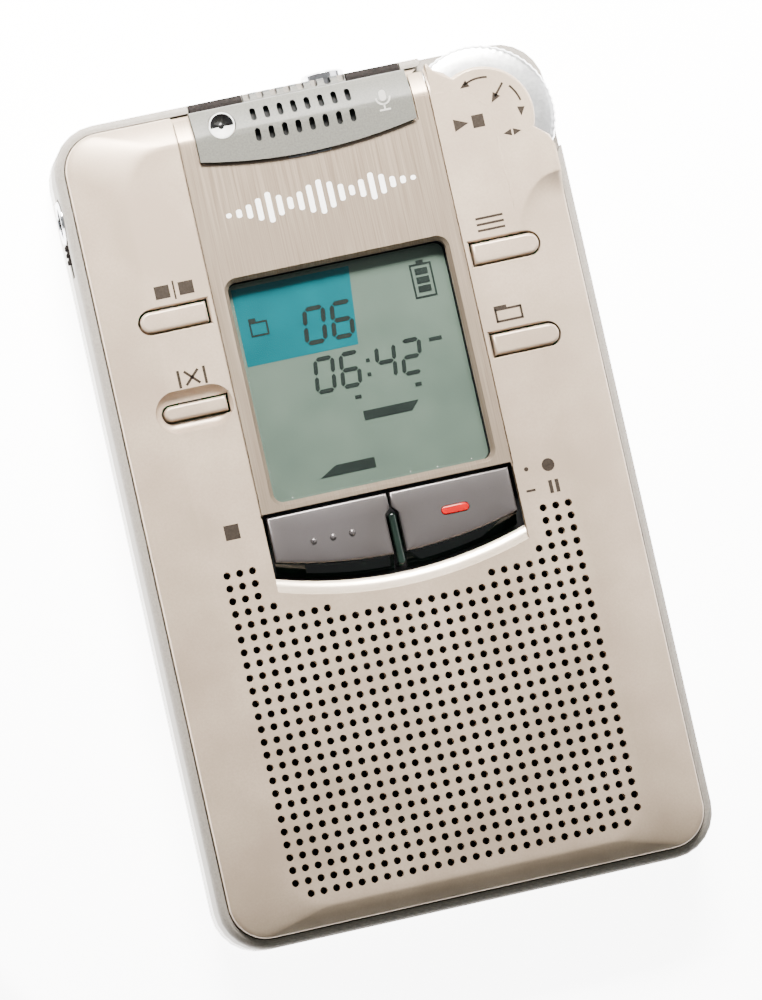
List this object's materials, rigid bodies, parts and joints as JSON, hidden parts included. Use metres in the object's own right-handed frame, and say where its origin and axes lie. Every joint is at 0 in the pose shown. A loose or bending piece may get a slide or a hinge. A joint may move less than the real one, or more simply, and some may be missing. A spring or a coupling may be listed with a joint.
{
  "type": "handheld voice recorder",
  "caption": "Flat pocket voice recorder with a display, record and stop keys, small side buttons, a corner jog dial, a drilled speaker grille and a sliding battery door.",
  "frame": {"origin": "middle of the back face's bounding box, on the surface that the back rests on", "axes": "+X to the right seen from the face, +Y towards the microphone end, +Z out of the face"},
  "size_m": [0.0544, 0.0902, 0.014],
  "materials": {
    "silver_paint": "satin silver paint on moulded plastic",
    "brushed": "brushed",
    "grey_plastic": "fine matt",
    "charcoal": "satin",
    "black_plastic": "matt",
    "gloss_dark": "gloss",
    "lilac_metal": "satin metallised coat on plastic",
    "chrome": "polished",
    "steel": "plain sheet",
    "window": "clear gloss",
    "display": "liquid crystal",
    "clear_white": "frosted clear",
    "red_lens": "clear red",
    "circuit": "solder mask",
    "cloth": "fine woven",
    "gold": "plated",
    "battery_label": "printed sleeve",
    "paper": "pressed paper"
  },
  "bodies": {
    "case": {"front_case": "silver_paint", "centre_panel": "brushed", "mic_cover": "grey_plastic", "top_mic_grille": "grey_plastic", "top_trim_left": "charcoal", "top_trim_right": "charcoal", "indicator_lens": "clear_white", "indicator_led": "red_lens", "middle_frame": "silver_paint", "rear_case": "silver_paint", "display_window": "window", "display_glass": "display", "light_guide": "clear_white", "display_holder": "black_plastic", "display_connector": "charcoal", "key_divider": "black_plastic", "stop_dome": "steel", "rec_dome": "steel", "divide_dome": "steel", "mode_dome": "steel", "folder_dome": "steel", "erase_dome": "steel", "dial_encoder": "black_plastic", "earphone_collar": "chrome", "microphone_collar": "chrome", "earphone_jack": "black_plastic", "microphone_jack": "black_plastic", "hold_switch": "steel", "main_board": "circuit", "memory_chip": "black_plastic", "processor_chip": "black_plastic", "audio_chip": "black_plastic", "speaker_frame": "steel", "speaker_cone": "paper", "speaker_magnet": "steel", "grille_cloth": "cloth", "microphone_capsule": "steel", "battery_bay": "black_plastic", "battery_pack": "battery_label", "battery_contact_plus": "gold", "battery_contact_minus": "gold", "battery_contact_sense": "gold", "case_screw_1": "steel", "case_screw_2": "steel", "case_screw_3": "steel", "case_screw_4": "steel"},
    "stop_key": {"stop_key": "lilac_metal", "stop_key_base": "gloss_dark"},
    "rec_key": {"rec_key": "lilac_metal", "rec_key_base": "gloss_dark", "rec_lens": "red_lens"},
    "divide_button": {"divide_button": "silver_paint"},
    "mode_button": {"mode_button": "silver_paint"},
    "folder_button": {"folder_button": "silver_paint"},
    "erase_button": {"erase_button": "silver_paint"},
    "dial_carrier": {"dial_carrier": "black_plastic", "dial_axle": "steel"},
    "jog_dial": {"jog_dial": "lilac_metal"},
    "hold_slider": {"hold_slider": "charcoal"},
    "battery_door": {"battery_door": "silver_paint"}
  },
  "joints": [
    {"name": "stop_press", "type": "slide", "parent": "case", "child": "stop_key", "axis": [0, 0, -1], "range_m": [0, 0.0005], "stiffness_N_per_m": 300, "springref_m": -0.0003},
    {"name": "rec_press", "type": "slide", "parent": "case", "child": "rec_key", "axis": [0, 0, -1], "range_m": [0, 0.0005], "stiffness_N_per_m": 300, "springref_m": -0.0003},
    {"name": "divide_press", "type": "slide", "parent": "case", "child": "divide_button", "axis": [0, 0, -1], "range_m": [0, 0.0004], "stiffness_N_per_m": 300, "springref_m": -0.0003},
    {"name": "mode_press", "type": "slide", "parent": "case", "child": "mode_button", "axis": [0, 0, -1], "range_m": [0, 0.0004], "stiffness_N_per_m": 300, "springref_m": -0.0003},
    {"name": "folder_press", "type": "slide", "parent": "case", "child": "folder_button", "axis": [0, 0, -1], "range_m": [0, 0.0004], "stiffness_N_per_m": 300, "springref_m": -0.0003},
    {"name": "erase_press", "type": "slide", "parent": "case", "child": "erase_button", "axis": [0, 0, -1], "range_m": [0, 0.0004], "stiffness_N_per_m": 300, "springref_m": -0.0003},
    {"name": "dial_press", "type": "slide", "parent": "case", "child": "dial_carrier", "axis": [-0.7071, -0.7071, 0], "range_m": [0, 0.0006], "stiffness_N_per_m": 500, "springref_m": -0.0003},
    {"name": "dial_turn", "type": "hinge", "parent": "dial_carrier", "child": "jog_dial", "pos_m": [0.019, 0.0367, 0.0093], "axis": [0, 0, 1], "continuous": true},
    {"name": "hold_slide", "type": "slide", "parent": "case", "child": "hold_slider", "axis": [0, -1, 0], "range_m": [0, 0.0012]},
    {"name": "door_slide", "type": "slide", "parent": "case", "child": "battery_door", "axis": [0, -1, 0], "range_m": [0, 0.056]}
  ]
}
